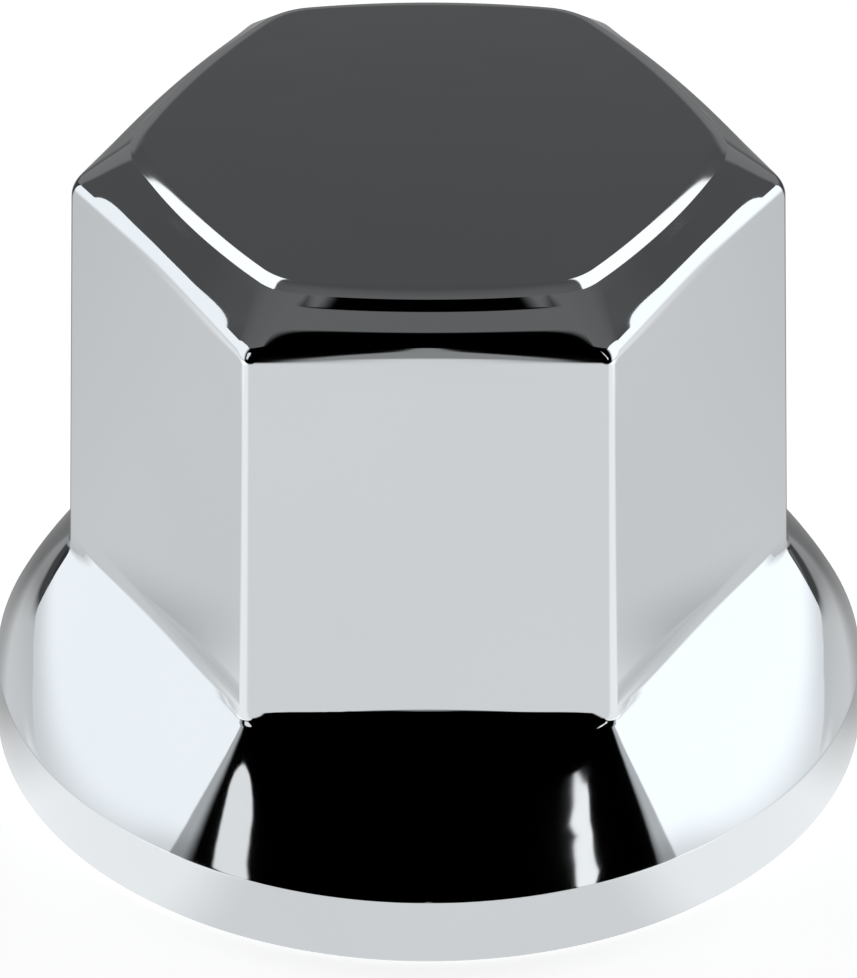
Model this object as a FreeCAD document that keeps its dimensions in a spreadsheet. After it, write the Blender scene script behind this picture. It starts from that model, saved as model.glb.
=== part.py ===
"""A push-on cover cap for a truck wheel nut: one hollow moulding with a hexagonal body and a flared foot.

The cap stands on its round rim, with its axis on Z and the origin in the middle of the rim's lower plane.
Two of the six facets face -Y and +Y, and two of the six corners point along -X and +X. Sizes are in mm.
The outside above the skirt is lofted. One profile through the middle of a side and one through a corner
give the reach of the form at any height, and the lofts run through the outlines that join the two.
"""
import FreeCAD
import Part
import Sketcher

import math
import os
from enum import IntEnum
from types import SimpleNamespace

SIDES = 6
STEP = 2 * math.pi / SIDES
FRONT = -math.pi / 2
COS_HALF = math.cos(STEP / 2)
SIN_HALF = math.sin(STEP / 2)

SIZES = [
    ("height", 41.6, "foot to the top of the pad"),
    ("nut_flats", 33.0, "across flats of the nut that the cap grips"),
    ("socket_clearance", 0.25, "between a flat of the nut and the socket's flat, at the ceiling"),
    ("grip_squeeze", 0.15, "how far a grip rib would reach into a flat of the nut"),
    ("wall", 2.1, "wall between a facet and the socket, at the shoulder"),
    ("ceiling_wall", 2.5, "wall between the pad and the socket's ceiling"),
    ("flange_wall", 1.9, "wall of the flange and the skirt"),
    ("rim_radius", 27.0, "outer radius of the skirt, at its foot"),
    ("rim_chamfer", 0.25, "chamfer of the skirt's lower edge"),
    ("skirt_height", 4.35, "height of the upright skirt"),
    ("skirt_draft", 1.2, "draft of the skirt, in degrees"),
    ("skirt_top_round", 0.5, "rounding between the skirt and the flange"),
    ("panel_low_tilt", 29.0, "tilt of a flange panel's normal at the skirt, in degrees"),
    ("panel_high_tilt", 49.0, "tilt of a flange panel's normal at its fillet, in degrees"),
    ("panel_fillet", 1.5, "hollow fillet between a facet and its flange panel"),
    ("ridge_low_tilt", 20.0, "tilt of a flange ridge's normal at the skirt, in degrees"),
    ("ridge_high_tilt", 40.0, "tilt of a flange ridge's normal at its fillet, in degrees"),
    ("ridge_fillet", 1.0, "hollow fillet between an upright corner and its ridge"),
    ("ridge_growth", 2.2, "how much rounder a ridge gets with each mm of fall"),
    ("facet_draft", 1.2, "draft of the facets, in degrees"),
    ("facet_crown", 0.04, "how far a facet swells in its middle"),
    ("corner_round", 0.9, "rounding of the six upright corners"),
    ("shoulder_drop", 3.25, "from the pad down to the start of the facets' upper rounding"),
    ("shoulder_dip", 0.5, "how much lower that rounding starts at the corners"),
    ("shoulder_round", 2.0, "rounding from a facet to the top slope"),
    ("shoulder_corner_round", 1.5, "rounding from an upright corner to the top slope"),
    ("slope_tilt", 50.5, "tilt of the top slope's normal, in degrees"),
    ("step_tilt", 40.0, "tilt of the normal at the step below the pad, in degrees"),
    ("step_length", 0.6, "length of the step below the pad, in the middle of a side"),
    ("step_hollow", 0.8, "hollow rounding between the top slope and the step"),
    ("pad_round", 1.2, "rounding of the pad's edge"),
    ("pad_corner_inset", 4.5, "from an upright corner, at its shoulder, in to the corner of the flat pad"),
    ("pad_corner_round", 4.0, "rounding of the pad's corners in plan"),
    ("pad_corner_edge", 1.1, "rounding of the pad's edge at its corners"),
    ("socket_draft", 0.5, "draft of the socket, in degrees"),
    ("socket_corner_round", 1.2, "rounding of the socket's upright corners"),
    ("ceiling_round", 0.9, "rounding between the socket and its ceiling"),
    ("rib_width", 1.4, "width of a grip rib"),
    ("rib_spacing", 9.0, "distance between the two ribs of a flat"),
    ("rib_foot", 14.5, "height of the ribs' lower ends"),
    ("rib_lead_in", 2.5, "height of the ramp at a rib's lower end"),
    ("rib_top_gap", 3.0, "space between the ribs and the ceiling"),
]

# The bow of a side stops growing near this half angle, so that the corner arcs keep a length.
LARGEST_BOW = math.radians(23.0)
SMALLEST_BOW = math.radians(0.05)
TILT_STEP = math.radians(13.0)
LEAST_RISE = 0.04
LOFT_DEGREE = 2
FLARE_OVERLAP = 0.3
ORIGIN = (-1, 1)
SOCKET_FLAT = "(sizes.nut_flats / 2 + sizes.socket_clearance)"
CEILING = "(sizes.height - sizes.ceiling_wall)"


class Place(IntEnum):
    """Which point of a sketch's line or circle a constraint takes."""

    START = 1
    END = 2
    CENTRE = 3


class Arc:
    """A round stretch of a profile. A tilt is the angle of its outward normal above the horizontal."""

    def __init__(self, start, low_tilt, high_tilt, radius, hollow=False):
        self.span = -radius if hollow else radius
        self.tilts = (low_tilt, high_tilt)
        self.centre = (start[0] - self.span * math.cos(low_tilt), start[1] - self.span * math.sin(low_tilt))
        self.start = start
        self.end = self.point(high_tilt)

    def point(self, tilt):
        return (self.centre[0] + self.span * math.cos(tilt), self.centre[1] + self.span * math.sin(tilt))

    def reach(self, height):
        sine = (height - self.centre[1]) / self.span
        return self.point(math.asin(max(-1.0, min(1.0, sine))))[0]

    def heights(self):
        first, last = self.tilts
        pieces = max(2, math.ceil(abs(last - first) / TILT_STEP))
        return [self.point(first + (last - first) * i / pieces)[1] for i in range(pieces + 1)]


class Line:
    """A straight stretch of a profile."""

    def __init__(self, start, end):
        self.start = start
        self.end = end

    def reach(self, height):
        share = (height - self.start[1]) / (self.end[1] - self.start[1])
        return self.start[0] + share * (self.end[0] - self.start[0])

    def heights(self):
        return [self.start[1], self.end[1]]


def reach_at(profile, height):
    """Distance from the axis to a profile at a height."""
    for stretch in profile:
        if height <= stretch.end[1]:
            return stretch.reach(max(height, stretch.start[1]))
    return profile[-1].end[0]


def make_sheet(document):
    """Keeps each driving size in one named cell and gives them back as numbers, angles in radians."""
    sheet = document.addObject("Spreadsheet::Sheet", "sizes")
    for row, (name, value, meaning) in enumerate(SIZES, start=1):
        sheet.set(f"A{row}", name)
        sheet.set(f"B{row}", str(value))
        sheet.set(f"C{row}", meaning)
        sheet.setAlias(f"B{row}", name)
    document.recompute()
    size = SimpleNamespace(**{name: float(sheet.get(name)) for name, _, _ in SIZES})
    for name, _, meaning in SIZES:
        if meaning.endswith("in degrees"):
            setattr(size, name, math.radians(getattr(size, name)))
    return size


def corner_ratio(bow):
    """Apothem of the corner centres for each mm of their reach, for a side that bows by this half angle."""
    return COS_HALF + SIN_HALF * math.tan(bow / 2)


def corner_wall(side_wall, corner_round, bow):
    """The upright line of a corner that belongs to a side's upright line and to a corner rounding."""
    ratio = corner_ratio(bow)
    return ((side_wall[0] - corner_round) / ratio + corner_round, side_wall[1] / ratio)


def on_wall(wall, height):
    """The point of an upright line, which is kept as its reach at the foot's plane and its slope."""
    return (wall[0] + wall[1] * height, height)


def flange_profile(size, wall, low_tilt, high_tilt, fillet):
    """The skirt's top rounding, the swelling flange and the hollow fillet that ends on the upright wall.

    The swell's radius is the one that brings the fillet's end onto the wall.
    """
    skirt_top = (size.rim_radius - size.skirt_height * math.tan(size.skirt_draft), size.skirt_height)
    wall_tilt = math.atan(-wall[1])
    top_round = Arc(skirt_top, size.skirt_draft, low_tilt, size.skirt_top_round)
    start = top_round.end
    fillet_in = fillet * (math.cos(wall_tilt) - math.cos(high_tilt))
    fillet_up = fillet * (math.sin(high_tilt) - math.sin(wall_tilt))
    swell_in = math.cos(low_tilt) - math.cos(high_tilt)
    swell_up = math.sin(high_tilt) - math.sin(low_tilt)
    room = start[0] - fillet_in - wall[0] - wall[1] * (start[1] + fillet_up)
    swell = Arc(start, low_tilt, high_tilt, room / (swell_in + wall[1] * swell_up))
    return [top_round, swell, Arc(swell.end, high_tilt, wall_tilt, fillet, hollow=True)]


def side_top_profile(size, start, wall_tilt):
    """From the shoulder in the middle of a side up to the flat pad; the slope takes the height that is left."""
    shoulder = Arc(start, wall_tilt, size.slope_tilt, size.shoulder_round)
    hollow_rise = size.step_hollow * (math.sin(size.slope_tilt) - math.sin(size.step_tilt))
    step_rise = size.step_length * math.cos(size.step_tilt)
    edge_rise = size.pad_round * (1 - math.sin(size.step_tilt))
    slope_rise = size.height - shoulder.end[1] - hollow_rise - step_rise - edge_rise
    slope_end = (shoulder.end[0] - slope_rise * math.tan(size.slope_tilt), shoulder.end[1] + slope_rise)
    hollow = Arc(slope_end, size.slope_tilt, size.step_tilt, size.step_hollow, hollow=True)
    step_end = (hollow.end[0] - step_rise * math.tan(size.step_tilt), hollow.end[1] + step_rise)
    edge = Arc(step_end, size.step_tilt, math.pi / 2, size.pad_round)
    return [shoulder, Line(shoulder.end, slope_end), hollow, Line(hollow.end, step_end), edge]


def corner_top_profile(size, start, wall_tilt):
    """From the shoulder at a corner up to the flat pad: two roundings with their common tangent between."""
    low_round = size.shoulder_corner_round
    high_round = size.pad_corner_edge
    low_centre = (start[0] - low_round * math.cos(wall_tilt), start[1] - low_round * math.sin(wall_tilt))
    high_centre = (start[0] - size.pad_corner_inset, size.height - high_round)
    inward = low_centre[0] - high_centre[0]
    upward = high_centre[1] - low_centre[1]
    tilt = math.acos((high_round - low_round) / math.hypot(inward, upward)) - math.atan2(upward, inward)
    shoulder = Arc(start, wall_tilt, tilt, low_round)
    edge_start = (high_centre[0] + high_round * math.cos(tilt), high_centre[1] + high_round * math.sin(tilt))
    edge = Arc(edge_start, tilt, math.pi / 2, high_round)
    return [shoulder, Line(shoulder.end, edge_start), edge]


def outer_form(size):
    """Side and corner profiles above the skirt, and the wished rounding of the corners at each height."""
    facet_radius = size.nut_flats / 2 + size.socket_clearance + size.wall
    slope = math.tan(size.facet_draft)
    shoulder_height = size.height - size.shoulder_drop
    side_wall = (facet_radius + slope * shoulder_height, -slope)
    crown_bow = 2 * math.atan(size.facet_crown / (facet_radius * math.tan(STEP / 2)))
    ridge_wall = corner_wall(side_wall, size.corner_round, crown_bow)

    panel = flange_profile(size, side_wall, size.panel_low_tilt, size.panel_high_tilt, size.panel_fillet)
    ridge = flange_profile(size, ridge_wall, size.ridge_low_tilt, size.ridge_high_tilt, size.ridge_fillet)
    side_shoulder = on_wall(side_wall, shoulder_height)
    corner_shoulder = on_wall(ridge_wall, shoulder_height - size.shoulder_dip)
    side_top = side_top_profile(size, side_shoulder, size.facet_draft)
    corner_top = corner_top_profile(size, corner_shoulder, math.atan(-ridge_wall[1]))

    ridge_top = ridge[-1].end[1]
    pad_growth = (size.pad_corner_round - size.corner_round) / (size.height - corner_shoulder[1])

    def plan_round(height):
        below = max(0.0, ridge_top - height)
        above = max(0.0, height - corner_shoulder[1])
        return size.corner_round + size.ridge_growth * below + pad_growth * above

    return SimpleNamespace(
        side=panel + [Line(panel[-1].end, side_shoulder)] + side_top,
        corner=ridge + [Line(ridge[-1].end, corner_shoulder)] + corner_top,
        plan_round=plan_round,
        swells=(panel[1], ridge[1]),
    )


def side_bow(side_reach, corner_reach, corner_round):
    """Half angle of a side's bow, from both reaches and the wished rounding of the corners."""
    spread = (corner_reach - side_reach) / max(corner_reach - corner_round, corner_round)
    bow = 2 * math.atan(max(0.0, 1 - COS_HALF - spread) / SIN_HALF)
    return max(SMALLEST_BOW, LARGEST_BOW * math.tanh(bow / LARGEST_BOW))


def outline(height, side_reach, corner_reach, bow):
    """A closed outline at a height: six bowed sides and six corner arcs that run into each other."""
    corner_centre = (corner_reach - side_reach) / (1 - corner_ratio(bow))
    corner_round = corner_reach - corner_centre
    side_round = corner_round + corner_centre * SIN_HALF / math.sin(bow)
    side_centre = side_reach - side_round

    def arc(angle, centre, radius, half_turn):
        points = []
        for turn in (-half_turn, 0.0, half_turn):
            x = centre * math.cos(angle) + radius * math.cos(angle + turn)
            y = centre * math.sin(angle) + radius * math.sin(angle + turn)
            points.append(FreeCAD.Vector(x, y, height))
        return Part.Arc(*points).toShape()

    edges = []
    for number in range(SIDES):
        angle = FRONT + number * STEP
        edges.append(arc(angle, side_centre, side_round, bow))
        edges.append(arc(angle + STEP / 2, corner_centre, corner_round, STEP / 2 - bow))
    return Part.Wire(edges)


def form_outline(form, height):
    side_reach = reach_at(form.side, height)
    corner_reach = reach_at(form.corner, height)
    bow = side_bow(side_reach, corner_reach, form.plan_round(height))
    return outline(height, side_reach, corner_reach, bow)


def section_heights(form, low, high):
    """Heights of a loft's outlines, close together where either profile turns."""
    found = {low, high}
    for stretch in form.side + form.corner:
        found.update(height for height in stretch.heights() if low < height < high)
    kept = []
    for height in sorted(found):
        if not kept or height - kept[-1] > LEAST_RISE:
            kept.append(height)
    kept[-1] = high
    return kept


def loft_between(form, low, high, ruled):
    wires = [form_outline(form, height) for height in section_heights(form, low, high)]
    return Part.makeLoft(wires, True, ruled, False, LOFT_DEGREE)


def lofted_solid(form):
    """The flange swells in one smooth loft. Below and above it, narrow ruled bands follow the profiles."""
    skirt_top = form.side[0].start[1]
    swell_start = max(swell.start[1] for swell in form.swells)
    swell_end = min(swell.end[1] for swell in form.swells)
    top = form.side[-1].end[1]
    swell = loft_between(form, swell_start, swell_end, False)
    bands = [loft_between(form, skirt_top, swell_start, True), loft_between(form, swell_end, top, True)]
    return swell.multiFuse(bands).removeSplitter()


def flare_solid(size, swells):
    """The space under the flange: round at the skirt, hexagonal where it meets the socket.

    On average over panels and ridges, its slanting wall lies one flange wall inside the flange's chords.
    """
    inner_radius = size.rim_radius - size.flange_wall
    ceiling = size.height - size.ceiling_wall
    slope = math.tan(size.socket_draft)
    flat = size.nut_flats / 2 + size.socket_clearance + slope * ceiling - FLARE_OVERLAP
    side_wall = (flat, -slope)
    walls = (side_wall, corner_wall(side_wall, size.socket_corner_round, SMALLEST_BOW))
    lows = []
    highs = []
    for swell, wall in zip(swells, walls):
        run = swell.end[0] - swell.start[0]
        rise = swell.end[1] - swell.start[1]
        length = math.hypot(run, rise)
        base = (swell.start[0] - size.flange_wall * rise / length, swell.start[1] + size.flange_wall * run / length)
        lean = run / rise
        lows.append(base[1] + (inner_radius - base[0]) / lean)
        highs.append((base[0] - lean * base[1] - wall[0]) / (wall[1] - lean))
    low = sum(lows) / len(lows)
    high = sum(highs) / len(highs)
    reaches = [on_wall(wall, high)[0] for wall in walls]
    wires = [
        outline(0.0, inner_radius, inner_radius, LARGEST_BOW),
        outline(low, inner_radius, inner_radius, LARGEST_BOW),
        outline(high, reaches[0], reaches[1], SMALLEST_BOW),
    ]
    return Part.makeLoft(wires, True, True)


def origin_item(body, role):
    return next(item for item in body.Origin.OriginFeatures if item.Role == role)


def add_sketch(body, name, plane_role):
    sketch = body.newObject("Sketcher::SketchObject", name)
    sketch.AttachmentSupport = [(origin_item(body, plane_role), "")]
    sketch.MapMode = "FlatFace"
    return sketch


def add_outline(sketch, points):
    """Draws a closed row of straight lines and joins their ends."""
    vectors = [FreeCAD.Vector(x, y, 0) for x, y in points]
    lines = [sketch.addGeometry(Part.LineSegment(*ends)) for ends in zip(vectors, vectors[1:] + vectors[:1])]
    for first, second in zip(lines, lines[1:] + lines[:1]):
        constrain(sketch, "Coincident", first, Place.END, second, Place.START)
    return lines


def constrain(sketch, *values):
    return sketch.addConstraint(Sketcher.Constraint(*values))


def bind_constraint(sketch, name, expression, *values):
    """Adds a constraint under a name and binds its value to the sheet."""
    sketch.renameConstraint(constrain(sketch, *values), name)
    sketch.setExpression(f"Constraints.{name}", expression)


def edges_where(shape, test):
    return [f"Edge{number}" for number, edge in enumerate(shape.Edges, start=1) if test(edge)]


def faces_where(shape, test):
    return [f"Face{number}" for number, face in enumerate(shape.Faces, start=1) if test(face)]


def add_fillet(body, name, base, radius_name, test):
    """Rounds the edges of a feature that pass a test, with a radius from the sheet."""
    body.Document.recompute()
    fillet = body.newObject("PartDesign::Fillet", name)
    fillet.Base = (base, edges_where(base.Shape, test))
    fillet.setExpression("Radius", f"sizes.{radius_name}")
    return fillet


def add_chamfer(body, name, base, size_name, test):
    """Breaks the edges of a feature that pass a test, with a width from the sheet."""
    body.Document.recompute()
    chamfer = body.newObject("PartDesign::Chamfer", name)
    chamfer.Base = (base, edges_where(base.Shape, test))
    chamfer.setExpression("Size", f"sizes.{size_name}")
    return chamfer


def add_foot(document, size):
    """The round foot with its upright skirt, as a full disc that is hollowed later."""
    body = document.addObject("PartDesign::Body", "foot")
    sketch = add_sketch(body, "foot_section", "XZ_Plane")
    radius = size.rim_radius
    rise = size.skirt_height
    skirt_top = radius - rise * math.tan(size.skirt_draft)
    bottom, skirt, top, axis = add_outline(sketch, [(0, 0), (radius, 0), (skirt_top, rise), (0, rise)])
    constrain(sketch, "Coincident", bottom, Place.START, *ORIGIN)
    constrain(sketch, "Horizontal", bottom)
    constrain(sketch, "Horizontal", top)
    constrain(sketch, "Vertical", axis)
    bind_constraint(sketch, "reach", "sizes.rim_radius", "Distance", bottom, radius)
    bind_constraint(sketch, "rise", "sizes.skirt_height", "Distance", axis, rise)
    lean = math.pi / 2 + size.skirt_draft
    bind_constraint(sketch, "lean", "90 deg + sizes.skirt_draft * 1 deg", "Angle", skirt, lean)
    disc = body.newObject("PartDesign::Revolution", "disc")
    disc.Profile = sketch
    disc.ReferenceAxis = (sketch, ["V_Axis"])
    disc.Angle = 360
    body.Tip = add_chamfer(
        body, "lower_edge", disc, "rim_chamfer",
        lambda edge: edge.BoundBox.ZMax < LEAST_RISE and edge.BoundBox.XLength > radius,
    )
    return body


def add_hexagon(sketch, side):
    """A hexagon with a side parallel to the sketch's horizontal axis, by its corner circle."""
    points = [(side * math.cos(number * STEP), side * math.sin(number * STEP)) for number in range(SIDES)]
    lines = add_outline(sketch, points)
    circle = sketch.addGeometry(Part.Circle(FreeCAD.Vector(0, 0, 0), FreeCAD.Vector(0, 0, 1), side), True)
    constrain(sketch, "Coincident", circle, Place.CENTRE, *ORIGIN)
    for line in lines:
        constrain(sketch, "PointOnObject", line, Place.START, circle)
    for line in lines[1:]:
        constrain(sketch, "Equal", lines[0], line)
    constrain(sketch, "Horizontal", lines[1])
    return circle


def add_rib_notch(body, size, name, offset_sign):
    """A pocket in the socket's space that leaves one grip rib with its ramp standing."""
    sketch = add_sketch(body, name + "_section", "YZ_Plane")
    sketch.setExpression("AttachmentOffset.Base.z", f"{offset_sign} * sizes.rib_spacing / 2")
    flat = size.nut_flats / 2 + size.socket_clearance
    tip = size.nut_flats / 2 - size.grip_squeeze
    foot = size.rib_foot
    ramp_top = foot + size.rib_lead_in
    top = size.height - size.ceiling_wall - size.rib_top_gap
    back = flat + size.wall
    points = [(-back, foot), (-flat, foot), (-tip, ramp_top), (-tip, top), (-back, top)]
    lower, ramp, face, upper, rear = add_outline(sketch, points)
    constrain(sketch, "Horizontal", lower)
    constrain(sketch, "Vertical", face)
    constrain(sketch, "Horizontal", upper)
    constrain(sketch, "Vertical", rear)
    bind_constraint(sketch, "back", f"{SOCKET_FLAT} + sizes.wall", "DistanceX", rear, Place.END, *ORIGIN, back)
    bind_constraint(
        sketch, "flat", f"{SOCKET_FLAT} + ({CEILING} - sizes.rib_foot) * tan(sizes.socket_draft * 1 deg)",
        "DistanceX", ramp, Place.START, *ORIGIN, flat,
    )
    bind_constraint(
        sketch, "tip", "sizes.nut_flats / 2 - sizes.grip_squeeze", "DistanceX", face, Place.START, *ORIGIN, tip
    )
    bind_constraint(sketch, "foot", "sizes.rib_foot", "DistanceY", *ORIGIN, lower, Place.START, foot)
    bind_constraint(
        sketch, "ramp_top", "sizes.rib_foot + sizes.rib_lead_in", "DistanceY", *ORIGIN, face, Place.START, ramp_top
    )
    bind_constraint(sketch, "top", f"{CEILING} - sizes.rib_top_gap", "DistanceY", *ORIGIN, upper, Place.END, top)
    notch = body.newObject("PartDesign::Pocket", name)
    notch.Profile = sketch
    notch.SideType = "Symmetric"
    notch.setExpression("Length", "sizes.rib_width")
    return notch


def add_socket(document, size):
    """The hexagonal space that takes the nut, drafted and rounded, less twelve grip ribs."""
    body = document.addObject("PartDesign::Body", "socket")
    sketch = add_sketch(body, "socket_section", "XY_Plane")
    ceiling = size.height - size.ceiling_wall
    flat = size.nut_flats / 2 + size.socket_clearance + ceiling * math.tan(size.socket_draft)
    circle = add_hexagon(sketch, flat / COS_HALF)
    bind_constraint(
        sketch, "corners", f"({SOCKET_FLAT} + {CEILING} * tan(sizes.socket_draft * 1 deg)) / cos(30 deg)",
        "Radius", circle, flat / COS_HALF,
    )
    prism = body.newObject("PartDesign::Pad", "prism")
    prism.Profile = sketch
    prism.setExpression("Length", CEILING)
    document.recompute()
    drafted = body.newObject("PartDesign::Draft", "drafted_flats")
    drafted.Base = (prism, faces_where(prism.Shape, lambda face: face.BoundBox.ZLength > LEAST_RISE))
    drafted.NeutralPlane = (origin_item(body, "XY_Plane"), [""])
    drafted.setExpression("Angle", "sizes.socket_draft * 1 deg")
    corners = add_fillet(
        body, "upright_corners", drafted, "socket_corner_round", lambda edge: edge.BoundBox.ZLength > LEAST_RISE
    )
    ceiling_edge = add_fillet(
        body, "ceiling_edge", corners, "ceiling_round", lambda edge: edge.BoundBox.ZMin > ceiling - LEAST_RISE
    )
    body.Tip = ceiling_edge
    notches = [add_rib_notch(body, size, "left_notch", -1), add_rib_notch(body, size, "right_notch", 1)]
    ring = body.newObject("PartDesign::PolarPattern", "notches")
    ring.Originals = notches
    ring.Axis = (origin_item(body, "Z_Axis"), [""])
    ring.Angle = 360
    ring.Occurrences = SIDES
    body.Tip = ring
    return body


def add_shape(document, name, shape):
    feature = document.addObject("Part::Feature", name)
    feature.Shape = shape
    return feature


def add_fusion(document, name, shapes):
    fusion = document.addObject("Part::MultiFuse", name)
    fusion.Shapes = shapes
    fusion.Refine = True
    return fusion


def check(document):
    """Stops the run where an object failed or has no valid shape."""
    for item in document.Objects:
        if "Invalid" in item.State or "Error" in item.State:
            raise RuntimeError(f"{item.Label} failed")
        if hasattr(item, "Shape") and item.TypeId != "Sketcher::SketchObject" and "Origin" not in item.TypeId:
            if item.Shape.isNull() or not item.Shape.isValid():
                raise RuntimeError(f"{item.Label} has no valid shape")


def main():
    document = FreeCAD.newDocument("nut_cover")
    size = make_sheet(document)
    form = outer_form(size)
    foot = add_foot(document, size)
    body = add_shape(document, "flange_and_hexagon", lofted_solid(form))
    socket = add_socket(document, size)
    flare = add_shape(document, "flare_space", flare_solid(size, form.swells))
    cap = document.addObject("Part::Cut", "cap")
    cap.Base = add_fusion(document, "outside", [foot, body])
    cap.Tool = add_fusion(document, "inside", [flare, socket])
    cap.Refine = True
    cap.Label = "nut_cover_cap"
    document.recompute()
    check(document)
    solid = cap.Shape
    if len(solid.Solids) != 1:
        raise RuntimeError("the cap is not one solid")
    os.makedirs("parts", exist_ok=True)
    solid.exportStep(f"parts/{cap.Label}.step")
    print(cap.Label, round(solid.Volume, 1), "mm3", len(solid.Faces), "faces")


main()
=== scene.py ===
"""Looks of the wheel nut cover cap: one chrome-plated moulding on a pale floor, in plain soft studio light.

The cap is meshed again from the same two profiles as its solid, one through the middle of a side and one
through a corner, with normals worked out from the form, so that the plating mirrors the studio without a
ripple. The sizes are in mm, and the mesh is in metres.
"""

import math
from types import SimpleNamespace

import bpy
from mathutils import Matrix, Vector


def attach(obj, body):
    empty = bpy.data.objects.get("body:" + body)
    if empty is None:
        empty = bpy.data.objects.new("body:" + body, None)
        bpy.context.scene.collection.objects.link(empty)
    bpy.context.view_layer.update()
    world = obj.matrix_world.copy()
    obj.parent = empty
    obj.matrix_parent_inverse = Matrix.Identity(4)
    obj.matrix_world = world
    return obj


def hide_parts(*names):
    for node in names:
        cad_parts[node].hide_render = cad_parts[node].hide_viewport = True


MM = 0.001
SIDES = 6
STEP = 2 * math.pi / SIDES
FRONT = -math.pi / 2
COS_HALF = math.cos(STEP / 2)
SIN_HALF = math.sin(STEP / 2)

# The sizes: name, value in mm or degrees, and meaning
SIZES = [
    ("height", 41.6, "foot to the top of the pad"),
    ("nut_flats", 33.0, "across flats of the nut that the cap grips"),
    ("socket_clearance", 0.25, "between a flat of the nut and the socket's flat, at the ceiling"),
    ("grip_squeeze", 0.15, "how far a grip rib would reach into a flat of the nut"),
    ("wall", 2.1, "wall between a facet and the socket, at the shoulder"),
    ("ceiling_wall", 2.5, "wall between the pad and the socket's ceiling"),
    ("flange_wall", 1.9, "wall of the flange and the skirt"),
    ("rim_radius", 27.0, "outer radius of the skirt, at its foot"),
    ("rim_chamfer", 0.25, "chamfer of the skirt's lower edge"),
    ("skirt_height", 4.35, "height of the upright skirt"),
    ("skirt_draft", 1.2, "draft of the skirt, in degrees"),
    ("skirt_top_round", 0.5, "rounding between the skirt and the flange"),
    ("panel_low_tilt", 29.0, "tilt of a flange panel's normal at the skirt, in degrees"),
    ("panel_high_tilt", 49.0, "tilt of a flange panel's normal at its fillet, in degrees"),
    ("panel_fillet", 1.5, "hollow fillet between a facet and its flange panel"),
    ("ridge_low_tilt", 20.0, "tilt of a flange ridge's normal at the skirt, in degrees"),
    ("ridge_high_tilt", 40.0, "tilt of a flange ridge's normal at its fillet, in degrees"),
    ("ridge_fillet", 1.0, "hollow fillet between an upright corner and its ridge"),
    ("ridge_growth", 2.2, "how much rounder a ridge gets with each mm of fall"),
    ("facet_draft", 1.2, "draft of the facets, in degrees"),
    ("facet_crown", 0.04, "how far a facet swells in its middle"),
    ("corner_round", 0.9, "rounding of the six upright corners"),
    ("shoulder_drop", 3.25, "from the pad down to the start of the facets' upper rounding"),
    ("shoulder_dip", 0.5, "how much lower that rounding starts at the corners"),
    ("shoulder_round", 2.0, "rounding from a facet to the top slope"),
    ("shoulder_corner_round", 1.5, "rounding from an upright corner to the top slope"),
    ("slope_tilt", 50.5, "tilt of the top slope's normal, in degrees"),
    ("step_tilt", 40.0, "tilt of the normal at the step below the pad, in degrees"),
    ("step_length", 0.6, "length of the step below the pad, in the middle of a side"),
    ("step_hollow", 0.8, "hollow rounding between the top slope and the step"),
    ("pad_round", 1.2, "rounding of the pad's edge"),
    ("pad_corner_inset", 4.5, "from an upright corner, at its shoulder, in to the corner of the flat pad"),
    ("pad_corner_round", 4.0, "rounding of the pad's corners in plan"),
    ("pad_corner_edge", 1.1, "rounding of the pad's edge at its corners"),
    ("socket_draft", 0.5, "draft of the socket, in degrees"),
    ("socket_corner_round", 1.2, "rounding of the socket's upright corners"),
    ("ceiling_round", 0.9, "rounding between the socket and its ceiling"),
    ("rib_width", 1.4, "width of a grip rib"),
    ("rib_spacing", 9.0, "distance between the two ribs of a flat"),
    ("rib_foot", 14.5, "height of the ribs' lower ends"),
    ("rib_lead_in", 2.5, "height of the ramp at a rib's lower end"),
    ("rib_top_gap", 3.0, "space between the ribs and the ceiling"),
]

# The bow of a side stops growing near this half angle, so that the corner arcs keep a length.
LARGEST_BOW = math.radians(23.0)
SMALLEST_BOW = math.radians(0.05)

# The mesh: points along a side and along a corner, the most that a rounding turns from one row to the next,
# and the most and the least that the rows rise
SIDE_CUTS = 24
CORNER_CUTS = 14
TILT_STEP = math.radians(3.0)
LARGEST_RISE = 0.8
LEAST_RISE = 0.002
# Rings of the flat pad, as shares of its outline, steps of the ceiling's rounding, and depth of a rib's root
PAD_RINGS = (0.5, 0.97, 0.995)
CEILING_TURNS = 6
RIB_ROOT = 0.3
# A normal's lean is measured between this far below and this far above its height.
NORMAL_STEP = 0.004
UPRIGHT = Vector((0, 0, 1))
# Edges that turn more than this are sharp.
SHARP_TURN = math.radians(25)

# The shading. The step below the pad shows a little more tilt, where its own is under the limit.
HAIR = 0.01
STEP_LIFT = math.radians(2.5)
STEP_LIMIT = math.radians(48)
# The pad's rounding shows the edge's tilt where its own is the step's, and from there its turn is squeezed.
PAD_EDGE_TILT = math.radians(56.5)
PAD_STEP_TILT = math.radians(40)
PAD_EDGE_SQUEEZE = 33.5 / 50
# The hollow fillet's tilt grows slowly from the rest to the turn, and then quickly to the end, where it is
# its own again. This fades in with height, over the fade's mm.
FILLET_REST = math.radians(2)
FILLET_TURN = math.radians(29)
FILLET_END = math.radians(40)
FILLET_SQUEEZE = 0.2
FILLET_FADE = 0.25

WHITE = (1, 1, 1, 1)
# The plating: the tints and the roughnesses that its clouds run between, and the fineness and detail of the
# clouds and of the waves
CHROME_TINTS = ((0.637, 0.665, 0.685, 1), (0.664, 0.69, 0.708, 1))
CHROME_ROUGHNESS = (0.03, 0.06)
CLOUDS = (60.0, 2.0)
WAVES = (220.0, 1.0)
WAVE_STRENGTH = 0.2
WAVE_DEPTH = 0.02 * MM

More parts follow.
